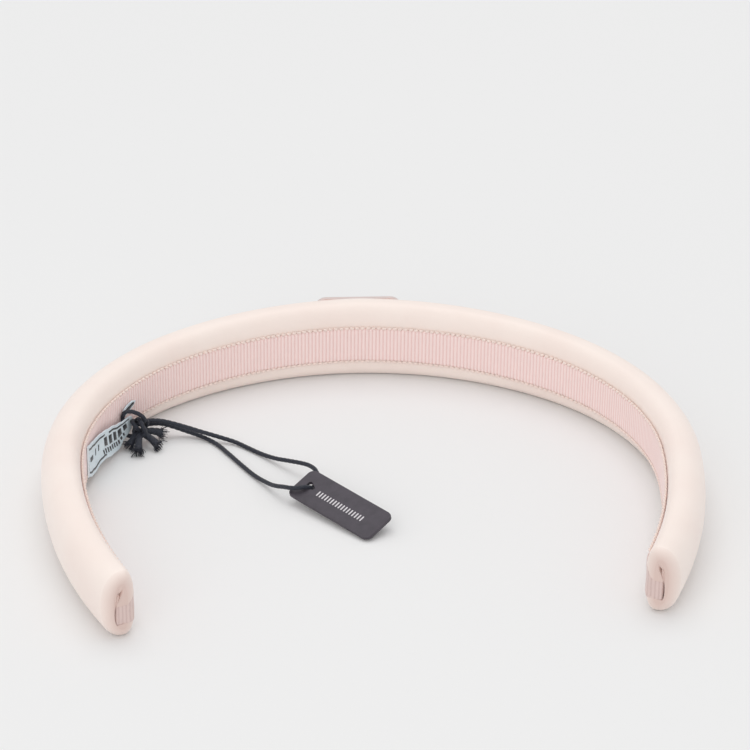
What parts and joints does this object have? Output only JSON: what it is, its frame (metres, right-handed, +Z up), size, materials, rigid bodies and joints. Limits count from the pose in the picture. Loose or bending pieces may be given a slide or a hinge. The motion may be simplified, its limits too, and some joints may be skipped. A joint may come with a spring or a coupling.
{
  "type": "headband",
  "caption": "Padded leather hair band on a sprung core, lined with ribbed ribbon, with a plaque on the crown, a woven label and a small tag on a knotted cord.",
  "frame": {"origin": "middle of the bottom of the band's box, as the band lies on its edge on a flat surface", "axes": "+X across the band from the left tip to the right tip, +Y from the tips towards the crown, +Z up, across the band's width"},
  "size_m": [0.1489, 0.1276, 0.0192],
  "materials": {
    "core_strip": "matte",
    "foam": "matte",
    "cover_leather": "satin",
    "lining_ribbon": "satin",
    "stitching": "satin",
    "tip_ribbon": "satin",
    "badge_metal": "gloss",
    "badge_enamel": "gloss",
    "clip_steel": "satin",
    "label_weave": "satin",
    "label_thread": "matte",
    "cord_braid": "matte",
    "tag_plate": "matte"
  },
  "bodies": {
    "crown": {"core_crown": "core_strip", "foam_crown": "foam", "cover_crown": "cover_leather", "ribbon_crown": "lining_ribbon", "edge_stitches_crown": "stitching", "badge_base": "badge_metal", "badge_face": "badge_enamel", "badge_clips": "clip_steel"},
    "left_arm": {"core_left": "core_strip", "foam_left": "foam", "cover_left": "cover_leather", "ribbon_left": "lining_ribbon", "edge_stitches_left": "stitching", "tip_tab_left": "tip_ribbon", "label": "label_weave", "label_stitches": "label_thread", "cord_eye": "cord_braid", "cord_knot": "cord_braid", "cord_tails": "cord_braid", "tag_cord": "cord_braid"},
    "right_arm": {"core_right": "core_strip", "foam_right": "foam", "cover_right": "cover_leather", "ribbon_right": "lining_ribbon", "edge_stitches_right": "stitching", "tip_tab_right": "tip_ribbon"},
    "tag": {"hang_tag": "tag_plate"}
  },
  "joints": [
    {"name": "right_flex", "type": "hinge", "parent": "crown", "child": "right_arm", "pos_m": [0.04932, 0.04624, 0.0094], "axis": [0, 0, 1], "range_deg": [0, 10], "stiffness_Nm_per_rad": 0.9},
    {"name": "left_flex", "type": "hinge", "parent": "crown", "child": "left_arm", "pos_m": [-0.04932, 0.04624, 0.0094], "axis": [0, 0, -1], "range_deg": [0, 10], "stiffness_Nm_per_rad": 0.9},
    {"name": "tag_lift", "type": "hinge", "parent": "left_arm", "child": "tag", "pos_m": [-0.01419, -0.00644, 0.00366], "axis": [-0.7035, -0.6234, -0.3412], "range_deg": [0, 14]}
  ],
  "couplings": [
    {"joint": "left_flex", "follows": "right_flex", "ratio": 1}
  ]
}
